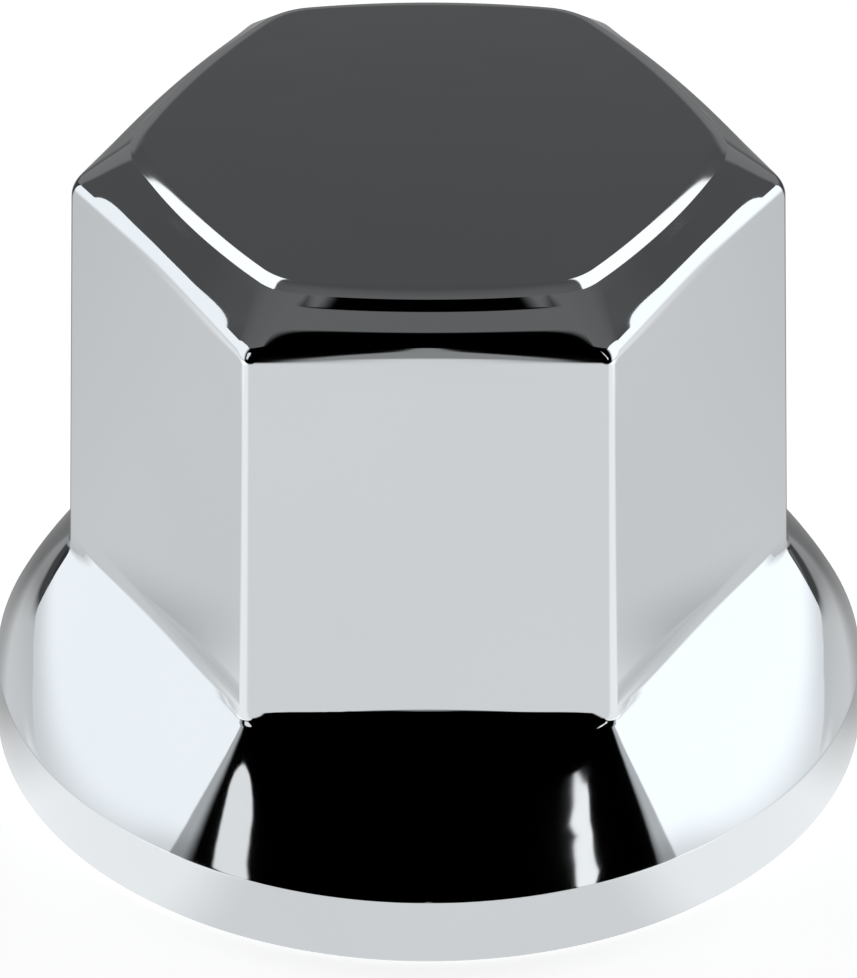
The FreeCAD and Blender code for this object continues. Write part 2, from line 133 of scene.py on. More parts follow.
# The camera looks along +Y and down. These hold for a picture of 857 by 978 pixels.
VIEW_DROP = math.radians(34.3)
VIEW_DISTANCE = 0.597
VIEW_HEIGHT = 0.0163
FOCAL_PIXELS = 9670.0
PICTURE_HEIGHT = 978
SENSOR = 36.0
CLIP_START = 0.01

# The studio is laid out by the slope of the plating that mirrors it to the camera: how far its normal tilts
# above the horizontal, and turns off the front, negative to the left. Angles are in degrees.
# An outline is rows of a tilt and the turns between which the light lies there.
STRIP_LIGHT = [
    (12, 19.9, 22.5),
    (22, 19.7, 22.3),
    (25.6, 18.1, 20.1),
    (28.6, 16.3, 18.7),
    (31, 15.1, 17.6),
    (33.4, 14.5, 16.3),
    (35.8, 13.6, 14.3),
    (36.8, 13.25, 13.7),
    (37.6, 13.0, 13.2),
]
WINDOW = [
    (12, -29.4, -25),
    (22, -29.3, -24),
    (25.4, -29.1, -22.8),
    (28.5, -28.9, -21.8),
    (31, -28.8, -21.4),
    (32.8, -28.0, -21.6),
    (33.9, -26.6, -22.2),
    (34.5, -25.2, -23.8),
]
# A patch is its strength, the softness of its edge, and its outline.
PATCHES = [
    # the dark gaps beside the side boards, toward the back
    (0.04, 3.0, [(31, -91, -73), (44, -86, -71)]),
    (0.16, 3.0, [(31, 73, 91), (44, 71, 86)]),
    # the strip light on the right and the window on the left
    (1.27, 0.3, STRIP_LIGHT),
    (1.05, 0.6, WINDOW),
    # the high softboxes, seen only in the rounding of the pad
    (1.5, 1.0, [(55.2, -69, -33), (84, -69, -33)]),
    (1.5, 1.0, [(55.2, 33, 69), (84, 33, 69)]),
    # the pale gap in front, low down
    (0.33, 0.2, [(16, -0.6, 0.6), (23, -0.3, 0.3)]),
]
# The ceiling and the back wall: angle across the studio, from the front horizon over the top, and strength
CEILING = [
    (0, 0.0),
    (63, 0.0),
    (66, 0.168),
    (90, 0.15),
    (112, 0.115),
    (124, 0.092),
    (147.5, 0.097),
    (154, 0.22),
    (180, 0.24),
]
# The largest tilt, and the largest turn or angle across, that these rows can have
LARGEST_TILT = 90
LARGEST_TURN = 180

# The side boards, in mm: how far they stand to the side, and their outline, back from the middle and up
BOARD_DISTANCE = 150
BOARD_OUTLINE = [
    (-112, 0),
    (-112, 190),
    (-40, 190),
    (-10, 170),
    (12, 150),
    (22, 120),
    (29, 95),
    (50, 93),
    (58, 85),
    (86, 84),
    (98, 60),
    (102, 0),
]
BOARD_TINT = (0.96, 0.98, 1.0, 1.0)
# Each board's strength, and where its full light starts
BOARDS = {"left": (1.32, -85), "right": (1.5, -95)}
# Ahead of that, a dim border: its start and its even part, as mm before the full light, and its share of it
BORDER_START = 22
BORDER_PLATEAU = 8
BORDER_SHARE = 0.42
# The width over which the border turns into the full light
BORDER_EDGE = 2
# The foot of a board: the height that it brightens over, and its least share
FOOT_HEIGHT = 28
FOOT_SHARE = 0.68

# The floor: half its width in metres, its colour, and its own glow to the camera
FLOOR_HALF = 3.0
FLOOR_COLOUR = (0.8, 0.8, 0.8, 1)
FLOOR_GLOW = 0.78
# How bright its painted reflection is, which only the plating sees: around the cap, far behind, and in the
# strip far ahead
FLOOR_NEAR = 0.92
FLOOR_FAR = 0.2
FLOOR_STRIP = 0.33
# Where that changes. Places are in mm off the middle, and turns in degrees off the front, to either side. A
# ramp is its start and end, and the values there where they aren't 0 and 1.
# a painted pool of light toward the front corners: from, to, softness and gain
CORNER_TURNS = (34, 72, 14)
CORNER_GAIN = 0.3
# a painted pool of light far to the side, except behind
OUTER_PLACES = (62, 84)
OUTER_TURNS = (98, 108, 1.0, 0.0)
OUTER_GAIN = 0.35
# painted shade from the side round to the back
SIDE_TURNS = (70, 88, 1.0, 0.88)
BACK_TURNS = (100, 125, 1.0, 0.85)
# painted shadow of the cap, right beside it
BESIDE_TURNS = (76, 92)
BESIDE_PLACES = (30, 40, 0.55, 1.0)
# painted shadow of the cap behind a slanting line, which is its rise for each mm to the side and its place in
# the middle
SLANT = (0.68, -11.0)
SLANT_EDGE = (0, 14)
SLANT_SIDES = (18, 30)
SLANT_SHARES = (55, 85, 0.5, 0.1)
# painted shade far behind
FAR_PLACES = (80, 125)
FAR_TURNS = (150, 160)
# far ahead: painted shade but for a paler strip, which is its growth for each mm ahead, its half width and
# its soft edge
AHEAD_PLACES = (78, 112)
STRIP_WIDTH = (0.017, 9.0)
STRIP_EDGE = (-1.5, 1.5)


class Arc:
    """A round stretch of a profile. A tilt is the angle of its outward normal above the horizontal."""

    def __init__(self, start, low_tilt, high_tilt, radius, hollow=False):
        self.span = -radius if hollow else radius
        self.tilts = (low_tilt, high_tilt)
        self.centre = (start[0] - self.span * math.cos(low_tilt), start[1] - self.span * math.sin(low_tilt))
        self.start = start
        self.end = self.point(high_tilt)

    def point(self, tilt):
        return (self.centre[0] + self.span * math.cos(tilt), self.centre[1] + self.span * math.sin(tilt))

    def reach(self, height):
        sine = (height - self.centre[1]) / self.span
        return self.point(math.asin(max(-1.0, min(1.0, sine))))[0]

    def heights(self):
        first, last = self.tilts
        pieces = max(2, math.ceil(abs(last - first) / TILT_STEP))
        return [self.point(first + (last - first) * i / pieces)[1] for i in range(pieces + 1)]


class Line:
    """A straight stretch of a profile."""

    def __init__(self, start, end):
        self.start = start
        self.end = end

    def reach(self, height):
        share = (height - self.start[1]) / (self.end[1] - self.start[1])
        return self.start[0] + share * (self.end[0] - self.start[0])

    def heights(self):
        return [self.start[1], self.end[1]]


def reach_at(profile, height):
    """Distance from the axis to a profile at a height."""
    for stretch in profile:
        if height <= stretch.end[1]:
            return stretch.reach(max(height, stretch.start[1]))
    return profile[-1].end[0]


def read_sizes():
    """The sizes as named numbers, with the angles in radians."""
    size = SimpleNamespace(**{name: value for name, value, _ in SIZES})
    for name, _, meaning in SIZES:
        if meaning.endswith("in degrees"):
            setattr(size, name, math.radians(getattr(size, name)))
    return size


def corner_ratio(bow):
    """Apothem of the corner centres for each mm of their reach, for a side that bows by this half angle."""
    return COS_HALF + SIN_HALF * math.tan(bow / 2)


def corner_wall(side_wall, corner_round, bow):
    """The upright line of a corner that belongs to a side's upright line and to a corner rounding."""
    ratio = corner_ratio(bow)
    return ((side_wall[0] - corner_round) / ratio + corner_round, side_wall[1] / ratio)


def on_wall(wall, height):
    """The point of an upright line, which is kept as its reach at the foot's plane and its slope."""
    return (wall[0] + wall[1] * height, height)


def flange_profile(size, wall, low_tilt, high_tilt, fillet):
    """The skirt's top rounding, the swelling flange and the hollow fillet that ends on the upright wall.

    The swell's radius is the one that brings the fillet's end onto the wall.
    """
    skirt_top = (size.rim_radius - size.skirt_height * math.tan(size.skirt_draft), size.skirt_height)
    wall_tilt = math.atan(-wall[1])
    top_round = Arc(skirt_top, size.skirt_draft, low_tilt, size.skirt_top_round)
    start = top_round.end
    fillet_in = fillet * (math.cos(wall_tilt) - math.cos(high_tilt))
    fillet_up = fillet * (math.sin(high_tilt) - math.sin(wall_tilt))
    swell_in = math.cos(low_tilt) - math.cos(high_tilt)
    swell_up = math.sin(high_tilt) - math.sin(low_tilt)
    room = start[0] - fillet_in - wall[0] - wall[1] * (start[1] + fillet_up)
    swell = Arc(start, low_tilt, high_tilt, room / (swell_in + wall[1] * swell_up))
    return [top_round, swell, Arc(swell.end, high_tilt, wall_tilt, fillet, hollow=True)]


def side_top_profile(size, start, wall_tilt):
    """From the shoulder in the middle of a side up to the flat pad. The slope takes what height is left."""
    shoulder = Arc(start, wall_tilt, size.slope_tilt, size.shoulder_round)
    hollow_rise = size.step_hollow * (math.sin(size.slope_tilt) - math.sin(size.step_tilt))
    step_rise = size.step_length * math.cos(size.step_tilt)
    edge_rise = size.pad_round * (1 - math.sin(size.step_tilt))
    slope_rise = size.height - shoulder.end[1] - hollow_rise - step_rise - edge_rise
    slope_end = (shoulder.end[0] - slope_rise * math.tan(size.slope_tilt), shoulder.end[1] + slope_rise)
    hollow = Arc(slope_end, size.slope_tilt, size.step_tilt, size.step_hollow, hollow=True)
    step_end = (hollow.end[0] - step_rise * math.tan(size.step_tilt), hollow.end[1] + step_rise)
    edge = Arc(step_end, size.step_tilt, math.pi / 2, size.pad_round)
    return [shoulder, Line(shoulder.end, slope_end), hollow, Line(hollow.end, step_end), edge]


def corner_top_profile(size, start, wall_tilt):
    """From the shoulder at a corner up to the flat pad: two roundings with their common tangent between."""
    low_round = size.shoulder_corner_round
    high_round = size.pad_corner_edge
    low_centre = (start[0] - low_round * math.cos(wall_tilt), start[1] - low_round * math.sin(wall_tilt))
    high_centre = (start[0] - size.pad_corner_inset, size.height - high_round)
    inward = low_centre[0] - high_centre[0]
    upward = high_centre[1] - low_centre[1]
    tilt = math.acos((high_round - low_round) / math.hypot(inward, upward)) - math.atan2(upward, inward)
    shoulder = Arc(start, wall_tilt, tilt, low_round)
    edge_start = (high_centre[0] + high_round * math.cos(tilt), high_centre[1] + high_round * math.sin(tilt))
    edge = Arc(edge_start, tilt, math.pi / 2, high_round)
    return [shoulder, Line(shoulder.end, edge_start), edge]


def outer_form(size):
    """Side and corner profiles above the skirt, and the wished rounding of the corners at each height."""
    facet_radius = size.nut_flats / 2 + size.socket_clearance + size.wall
    slope = math.tan(size.facet_draft)
    shoulder_height = size.height - size.shoulder_drop
    side_wall = (facet_radius + slope * shoulder_height, -slope)
    crown_bow = 2 * math.atan(size.facet_crown / (facet_radius * math.tan(STEP / 2)))
    ridge_wall = corner_wall(side_wall, size.corner_round, crown_bow)

    panel = flange_profile(size, side_wall, size.panel_low_tilt, size.panel_high_tilt, size.panel_fillet)
    ridge = flange_profile(size, ridge_wall, size.ridge_low_tilt, size.ridge_high_tilt, size.ridge_fillet)
    side_shoulder = on_wall(side_wall, shoulder_height)
    corner_shoulder = on_wall(ridge_wall, shoulder_height - size.shoulder_dip)
    side_top = side_top_profile(size, side_shoulder, size.facet_draft)
    corner_top = corner_top_profile(size, corner_shoulder, math.atan(-ridge_wall[1]))

    ridge_top = ridge[-1].end[1]
    pad_growth = (size.pad_corner_round - size.corner_round) / (size.height - corner_shoulder[1])

    def plan_round(height):
        below = max(0.0, ridge_top - height)
        above = max(0.0, height - corner_shoulder[1])
        return size.corner_round + size.ridge_growth * below + pad_growth * above

    return SimpleNamespace(
        side=panel + [Line(panel[-1].end, side_shoulder)] + side_top,
        corner=ridge + [Line(ridge[-1].end, corner_shoulder)] + corner_top,
        plan_round=plan_round,
        swells=(panel[1], ridge[1]),
        fillet=panel[-1],
        step=side_top[-2],
        pad_edge=side_top[-1],
    )


def side_bow(side_reach, corner_reach, corner_round):
    """Half angle of a side's bow, from both reaches and the wished rounding of the corners."""
    spread = (corner_reach - side_reach) / max(corner_reach - corner_round, corner_round)
    bow = 2 * math.atan(max(0.0, 1 - COS_HALF - spread) / SIN_HALF)
    return max(SMALLEST_BOW, LARGEST_BOW * math.tanh(bow / LARGEST_BOW))


def section_at(size, form, height):
    """Side reach, corner reach and bow of the outside at any height above the foot."""
    if height >= size.skirt_height:
        side_reach = reach_at(form.side, height)
        corner_reach = reach_at(form.corner, height)
        return side_reach, corner_reach, side_bow(side_reach, corner_reach, form.plan_round(height))
    reach = size.rim_radius - height * math.tan(size.skirt_draft)
    reach -= max(0.0, size.rim_chamfer - height)
    return reach, reach, section_at(size, form, size.skirt_height)[2]


def outline_parts(section):
    """Centres and radii of a side's arc and a corner's arc."""
    side_reach, corner_reach, bow = section
    corner_centre = (corner_reach - side_reach) / (1 - corner_ratio(bow))
    corner_round = corner_reach - corner_centre
    side_round = corner_round + corner_centre * SIN_HALF / math.sin(bow)
    return side_reach - side_round, side_round, corner_centre, corner_round


def outline_turns(bow):
    """Directions of the outward normal around one side and the corner after it, from the side's middle."""
    turns = [bow * (2 * number / SIDE_CUTS - 1) for number in range(SIDE_CUTS)]
    corner = STEP - 2 * bow
    return turns + [bow + corner * number / CORNER_CUTS for number in range(CORNER_CUTS)]


def support(section, turn):
    """Distance from the axis to the tangent whose normal points this way."""
    side_centre, side_round, corner_centre, corner_round = outline_parts(section)
    if turn <= section[2]:
        return side_centre * math.cos(turn) + side_round
    return corner_centre * math.cos(turn - STEP / 2) + corner_round


def outline_points(section, height):
    """The points of an outline, in mm, all the way around."""
    side_centre, side_round, corner_centre, corner_round = outline_parts(section)
    points = []
    for number in range(SIDES):
        angle = FRONT + number * STEP
        for turn in outline_turns(section[2]):
            on_side = turn <= section[2]
            centre = side_centre if on_side else corner_centre
            radius = side_round if on_side else corner_round
            facing = angle if on_side else angle + STEP / 2
            x = centre * math.cos(facing) + radius * math.cos(angle + turn)
            y = centre * math.sin(facing) + radius * math.sin(angle + turn)
            points.append((x, y, height))
    return points


def outline_normals(size, form, height):
    """The outside's true normals at a height. The lean is how fast a tangent moves in as the height grows."""
    section = section_at(size, form, height)
    low = max(0.0, height - NORMAL_STEP)
    high = min(size.height, height + NORMAL_STEP)
    below = section_at(size, form, low)
    above = section_at(size, form, high)
    turns = outline_turns(section[2])
    leans = [(support(below, turn) - support(above, turn)) / (high - low) for turn in turns]
    normals = []
    for number in range(SIDES):
        angle = FRONT + number * STEP
        for turn, lean in zip(turns, leans):
            normals.append(Vector((math.cos(angle + turn), math.sin(angle + turn), lean)).normalized())
    return normals


def turned_up(normal, extra, share=1.0):
    """A normal whose tilt is a share of its own and something extra."""
    tilt = math.asin(normal.z) * share + extra
    around = math.atan2(normal.y, normal.x)
    return Vector((math.cos(tilt) * math.cos(around), math.cos(tilt) * math.sin(around), math.sin(tilt)))


def fillet_tilt(tilt):
    """The tilt that the hollow fillet shows: near the facet's for most of its turn, and then a quick one."""
    if tilt < FILLET_REST or tilt > FILLET_END:
        return tilt
    kept = FILLET_REST + (FILLET_TURN - FILLET_REST) * FILLET_SQUEEZE
    if tilt < FILLET_TURN:
        return FILLET_REST + (tilt - FILLET_REST) * FILLET_SQUEEZE
    return kept + (tilt - FILLET_TURN) / (FILLET_END - FILLET_TURN) * (FILLET_END - kept)


def fillet_share(form, height):
    """How far the fillet's shading applies at a height: it fades in above the foot of the facets' fillets."""
    if height > form.fillet.end[1]:
        return 0.0
    return max(0.0, min(1.0, (height - form.fillet.start[1]) / FILLET_FADE))


def shown_normal(form, height, normal):
    """The normal that the plating shows.

    It softens the step below the pad and the start of the pad's rounding, and sharpens the fillet's turn.
    """
    share = fillet_share(form, height)
    if share:
        tilt = math.asin(normal.z)
        return turned_up(normal, share * (fillet_tilt(tilt) - tilt))
    if height > form.pad_edge.start[1] + HAIR:
        return turned_up(normal, PAD_EDGE_TILT - PAD_STEP_TILT * PAD_EDGE_SQUEEZE, PAD_EDGE_SQUEEZE)
    if height > form.step.start[1] - HAIR and normal.z < math.sin(STEP_LIMIT):
        return turned_up(normal, STEP_LIFT)
    return normal


def outside_heights(size, form):
    """Heights of the mesh's rows from the pad down to the foot."""
    found = {0.0, size.rim_chamfer, size.skirt_height, size.height}
    for stretch in form.side + form.corner:
        found.update(stretch.heights())
    kept = []
    for height in sorted(found, reverse=True):
        if kept and kept[-1] - height < LEAST_RISE:
            continue
        while kept and kept[-1] - height > LARGEST_RISE:
            kept.append(kept[-1] - LARGEST_RISE)
        kept.append(height)
    return kept


def outside_rows(size, form):
    """Rows of points from the pad down to the foot, and the normals that the plating shows there."""
    pad = outline_points(section_at(size, form, size.height), size.height)
    level = [UPRIGHT] * len(pad)
    rows = [[(x * share, y * share, z) for x, y, z in pad] for share in PAD_RINGS]
    normals = [level] * len(PAD_RINGS)
    for height in outside_heights(size, form):
        rows.append(outline_points(section_at(size, form, height), height))
        normals.append([shown_normal(form, height, normal) for normal in outline_normals(size, form, height)])
    normals[len(PAD_RINGS)] = level
    return rows, normals


def flare_wall(size, swell, wall):
    """Where the slanting wall under the flange starts and ends, for a side or a corner."""
    inner_radius = size.rim_radius - size.flange_wall
    run = swell.end[0] - swell.start[0]
    rise = swell.end[1] - swell.start[1]
    length = math.hypot(run, rise)
    base = (
        swell.start[0] - size.flange_wall * rise / length,
        swell.start[1] + size.flange_wall * run / length,
    )
    lean = run / rise
    low = base[1] + (inner_radius - base[0]) / lean
    high = (base[0] - lean * base[1] - wall[0]) / (wall[1] - lean)
    return low, high


def inside_rows(size, form):
    """Rows of points from the foot's inner edge up the flare and the socket to the ceiling's middle."""
    inner_radius = size.rim_radius - size.flange_wall
    ceiling = size.height - size.ceiling_wall
    slope = math.tan(size.socket_draft)
    side_wall = (size.nut_flats / 2 + size.socket_clearance + slope * ceiling, -slope)
    walls = (side_wall, corner_wall(side_wall, size.socket_corner_round, SMALLEST_BOW))
    ends = [flare_wall(size, swell, wall) for swell, wall in zip(form.swells, walls)]
    low = sum(end[0] for end in ends) / len(ends)
    high = sum(end[1] for end in ends) / len(ends)

    def socket_section(height, inset=0.0):
        return (on_wall(walls[0], height)[0] - inset, on_wall(walls[1], height)[0] - inset, SMALLEST_BOW)

    rows = [outline_points((inner_radius, inner_radius, LARGEST_BOW), level) for level in (0.0, low)]
    rows.append(outline_points(socket_section(high), high))
    edge = size.ceiling_round
    for number in range(CEILING_TURNS + 1):
        tilt = math.pi / 2 * number / CEILING_TURNS
        height = ceiling - edge + edge * math.sin(tilt)
        rows.append(outline_points(socket_section(height, edge * (1 - math.cos(tilt))), height))
    return rows


def rib_profile(size):
    """Corners of a grip rib seen from its side: reach from the axis and height."""
    flat = size.nut_flats / 2 + size.socket_clearance
    tip = size.nut_flats / 2 - size.grip_squeeze
    ceiling = size.height - size.ceiling_wall
    top = ceiling - size.rib_top_gap
    foot_wall = flat + (ceiling - size.rib_foot) * math.tan(size.socket_draft)
    back = foot_wall + RIB_ROOT
    ramp_end = size.rib_foot + size.rib_lead_in
    return [(back, size.rib_foot), (foot_wall, size.rib_foot), (tip, ramp_end), (tip, top), (back, top)]


def grip_ribs(size):
    """Corners and faces of the twelve ribs that hold the cap on its nut."""
    profile = rib_profile(size)
    count = len(profile)
    points = []
    faces = []
    for number in range(SIDES):
        turn = number * STEP + FRONT
        for middle in (-size.rib_spacing / 2, size.rib_spacing / 2):
            first = len(points)
            for across in (middle - size.rib_width / 2, middle + size.rib_width / 2):
                for reach, height in profile:
                    x = reach * math.cos(turn) - across * math.sin(turn)
                    y = reach * math.sin(turn) + across * math.cos(turn)
                    points.append((x, y, height))
            faces.append([first + corner for corner in reversed(range(count))])
            faces.append([first + count + corner for corner in range(count)])
            for corner in range(count):
                after = (corner + 1) % count
                faces.append([first + corner, first + after, first + count + after, first + count + corner])
    return points, faces


def row_faces(first, count):
    """Faces between a row of points and the next one."""
    faces = []
    for number in range(count):
        after = (number + 1) % count
        faces.append((first + number, first + count + number, first + count + after, first + after))
    return faces


def skin(size, rows):
    """Points and faces of the moulding's skin, with a point in the middle of the pad and of the ceiling."""
    count = len(rows[0])
    points = [point for row in rows for point in row]
    faces = []
    for number in range(len(rows) - 1):
        faces += row_faces(number * count, count)
    top = len(points)
    last = top - count
    points += [(0, 0, size.height), (0, 0, size.height - size.ceiling_wall)]
    for number in range(count):
        after = (number + 1) % count
        faces.append((top, number, after))
        faces.append((top + 1, last + after, last + number))
    return points, faces


def cap_mesh(size):
    """The whole moulding in one mesh, whose outside has the normals that the plating shows."""
    form = outer_form(size)
    rows, row_normals = outside_rows(size, form)
    outside_faces = (len(rows) - 1) * len(rows[0])
    points, faces = skin(size, rows + inside_rows(size, form))
    first_rib = len(points)
    rib_points, rib_faces = grip_ribs(size)
    points += rib_points
    faces += [[first_rib + corner for corner in face] for face in rib_faces]

    mesh = bpy.data.meshes.new("plated_cap")
    mesh.from_pydata([Vector(point) * MM for point in points], [], faces)
    mesh.polygons.foreach_set("use_smooth", [True] * len(mesh.polygons))
    mesh.set_sharp_from_angle(angle=SHARP_TURN)
    normals = [normal for row in row_normals for normal in row]
    loop_normals = []
    for polygon in mesh.polygons:
        outside = polygon.index < outside_faces
        for vertex in polygon.vertices:
            loop_normals.append(normals[vertex] if outside else Vector())
    mesh.normals_split_custom_set(loop_normals)
    return mesh


def feed(tree, socket, value):
    """Sets a socket to a number or a vector, or links it to another node's output."""
    if isinstance(value, (int, float, tuple)):
        socket.default_value = value
    else:
        tree.links.new(value, socket)


def operation_node(tree, kind, operation, values):
    node = tree.nodes.new(kind)
    node.operation = operation
    for socket, value in zip(node.inputs, values):
        feed(tree, socket, value)
    return node.outputs[0]


def math_node(tree, operation, *values):
    return operation_node(tree, "ShaderNodeMath", operation, values)


def vector_node(tree, operation, *values):
    return operation_node(tree, "ShaderNodeVectorMath", operation, values)


def product(tree, first, *others):
    for other in others:
        first = math_node(tree, "MULTIPLY", first, other)
    return first


def ramp_node(tree, value, start, end, low=0.0, high=1.0):
    """A smooth change from low to high while the value goes from start to end."""
    ramp = tree.nodes.new("ShaderNodeMapRange")
    ramp.interpolation_type = "SMOOTHSTEP"
    settings = {"Value": value, "From Min": start, "From Max": end, "To Min": low, "To Max": high}
    for name, setting in settings.items():
        feed(tree, ramp.inputs[name], setting)
    return ramp.outputs["Result"]


def band(tree, value, low, high, soft):
    """A value that is 1 between two limits and 0 outside, with soft edges."""
    rise = ramp_node(tree, value, low - soft / 2, low + soft / 2)
    fall = ramp_node(tree, value, high - soft / 2, high + soft / 2, 1.0, 0.0)
    return product(tree, rise, fall)


def line_node(tree, value, points, span, height):
    """The level of a line through points, at a value between 0 and span. Levels are within height."""
    share = math_node(tree, "DIVIDE", value, span)
    node = tree.nodes.new("ShaderNodeFloatCurve")
    node.mapping.extend = "HORIZONTAL"
    curve = node.mapping.curves[0]
    while len(curve.points) < len(points):
        curve.points.new(0.5, 0.5)
    for point, (place, level) in zip(curve.points, points):
        point.location = (place / span, 0.5 + level / height / 2)
        point.handle_type = "VECTOR"
    node.mapping.update()
    tree.links.new(share, node.inputs["Value"])
    return math_node(tree, "MULTIPLY_ADD", node.outputs["Value"], 2 * height, -height)


def axes_of(tree, vector):
    node = tree.nodes.new("ShaderNodeSeparateXYZ")
    tree.links.new(vector, node.inputs[0])
    return node.outputs


def degrees_node(tree, value):
    return product(tree, value, math.degrees(1.0))


def turn_of(tree, x, y):
    """The angle off the front, negative to the left."""
    return degrees_node(tree, math_node(tree, "ARCTAN2", x, product(tree, y, -1.0)))


def mixed(tree, share, first, second):
    """The first value where the share is 0, the second where it is 1."""
    node = tree.nodes.new("ShaderNodeMix")
    for name, value in (("Factor", share), ("A", first), ("B", second)):
        feed(tree, node.inputs[name], value)
    return node.outputs["Result"]


def noise_node(tree, place, scale, detail):
    node = tree.nodes.new("ShaderNodeTexNoise")
    node.inputs["Scale"].default_value = scale
    node.inputs["Detail"].default_value = detail
    tree.links.new(place, node.inputs["Vector"])
    return node.outputs["Fac"]


def chrome():
    """Bright plating with faint clouds in its tint and polish, and the slight waves of a moulded surface."""
    material = bpy.data.materials.new("chrome_plating")
    material.use_nodes = True
    tree = material.node_tree
    shader = tree.nodes["Principled BSDF"]
    shader.inputs["Metallic"].default_value = 1.0
    place = tree.nodes.new("ShaderNodeTexCoord").outputs["Object"]
    clouds = noise_node(tree, place, *CLOUDS)
    tint = tree.nodes.new("ShaderNodeMix")
    tint.data_type = "RGBA"
    tint.inputs["A"].default_value, tint.inputs["B"].default_value = CHROME_TINTS
    tree.links.new(clouds, tint.inputs["Factor"])
    tree.links.new(tint.outputs["Result"], shader.inputs["Base Color"])
    polish = tree.nodes.new("ShaderNodeMapRange")
    polish.inputs["To Min"].default_value, polish.inputs["To Max"].default_value = CHROME_ROUGHNESS
    tree.links.new(clouds, polish.inputs["Value"])
    tree.links.new(polish.outputs["Result"], shader.inputs["Roughness"])
    bump = tree.nodes.new("ShaderNodeBump")
    bump.inputs["Strength"].default_value = WAVE_STRENGTH
    bump.inputs["Distance"].default_value = WAVE_DEPTH
    tree.links.new(noise_node(tree, place, *WAVES), bump.inputs["Height"])
    tree.links.new(bump.outputs["Normal"], shader.inputs["Normal"])
    return material


def add_cap():
    cap = bpy.data.objects.new("plated_cap", cap_mesh(read_sizes()))
    bpy.context.scene.collection.objects.link(cap)
    cap.data.materials.append(chrome())
    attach(cap, "root")
    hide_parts("nut_cover_cap")


def patch_share(tree, turn, tilt, soft, rows):
    """1 inside a patch of the studio and 0 outside."""
    start = line_node(tree, tilt, [(row[0], row[1]) for row in rows], LARGEST_TILT, LARGEST_TURN)
    end = line_node(tree, tilt, [(row[0], row[2]) for row in rows], LARGEST_TILT, LARGEST_TURN)
    past_start = ramp_node(tree, math_node(tree, "SUBTRACT", turn, start), -soft / 2, soft / 2)
    before_end = ramp_node(tree, math_node(tree, "SUBTRACT", end, turn), -soft / 2, soft / 2)
    return product(tree, past_start, before_end, band(tree, tilt, rows[0][0], rows[-1][0], soft))


def add_studio():
    world = bpy.data.worlds.new("studio")
    world.use_nodes = True
    bpy.context.scene.world = world
    tree = world.node_tree
    direction = tree.nodes.new("ShaderNodeTexCoord").outputs["Generated"]
    _, y, z = axes_of(tree, direction)
    across = degrees_node(tree, math_node(tree, "ARCTAN2", z, product(tree, y, -1.0)))
    total = line_node(tree, across, CEILING, LARGEST_TURN, 1.0)
    toward_camera = (0.0, -math.cos(VIEW_DROP), math.sin(VIEW_DROP))
    half_way = vector_node(tree, "NORMALIZE", vector_node(tree, "ADD", direction, toward_camera))
    x, y, z = axes_of(tree, half_way)
    turn = turn_of(tree, x, y)
    tilt = degrees_node(tree, math_node(tree, "ARCSINE", z))
    for strength, soft, rows in PATCHES:
        total = mixed(tree, patch_share(tree, turn, tilt, soft, rows), total, strength)
    tree.links.new(total, tree.nodes["Background"].inputs["Strength"])
    tree.nodes["Background"].inputs["Color"].default_value = WHITE


def glow_material(name, colour):
    """A material with an emission that is linked to its output, and whose strength is still to be set."""
    material = bpy.data.materials.new(name)
    material.use_nodes = True
    tree = material.node_tree
    tree.nodes.clear()
    output = tree.nodes.new("ShaderNodeOutputMaterial")
    glow = tree.nodes.new("ShaderNodeEmission")
    glow.inputs["Color"].default_value = colour
    tree.links.new(glow.outputs[0], output.inputs["Surface"])
    return material, tree, glow


def stand_mesh(name, vertices, material):
    """A flat piece of the studio, which isn't part of the cap."""
    mesh = bpy.data.meshes.new(name)
    mesh.from_pydata(vertices, [], [list(range(len(vertices)))])
    mesh.materials.append(material)
    piece = bpy.data.objects.new(name, mesh)
    bpy.context.scene.collection.objects.link(piece)
    return piece


def board_light(tree, strength, front):
    """A board's strength from place to place: a dim border ahead of the full light, and a dimmer foot."""
    place = tree.nodes.new("ShaderNodeNewGeometry").outputs["Position"]
    _, back, up = axes_of(tree, place)
    border = ramp_node(tree, back, front - BORDER_START * MM, front - BORDER_PLATEAU * MM, 0.0, BORDER_SHARE)
    share = mixed(tree, ramp_node(tree, back, front, front + BORDER_EDGE * MM), border, 1.0)
    foot = ramp_node(tree, up, 0, FOOT_HEIGHT * MM, strength * FOOT_SHARE, strength)
    return product(tree, share, foot)


def add_softbox(side, label):
    """A tall board of light beside the cap, seen only as a reflection."""
    strength, front = BOARDS[label]
    material, tree, glow = glow_material("softbox_" + label, BOARD_TINT)
    tree.links.new(board_light(tree, strength, front * MM), glow.inputs["Strength"])
    vertices = [(side * BOARD_DISTANCE * MM, back * MM, up * MM) for back, up in BOARD_OUTLINE]
    board = stand_mesh("softbox_" + label, vertices, material)
    board.visible_camera = False
    board.visible_diffuse = False
    board.visible_transmission = False
    board.visible_shadow = False


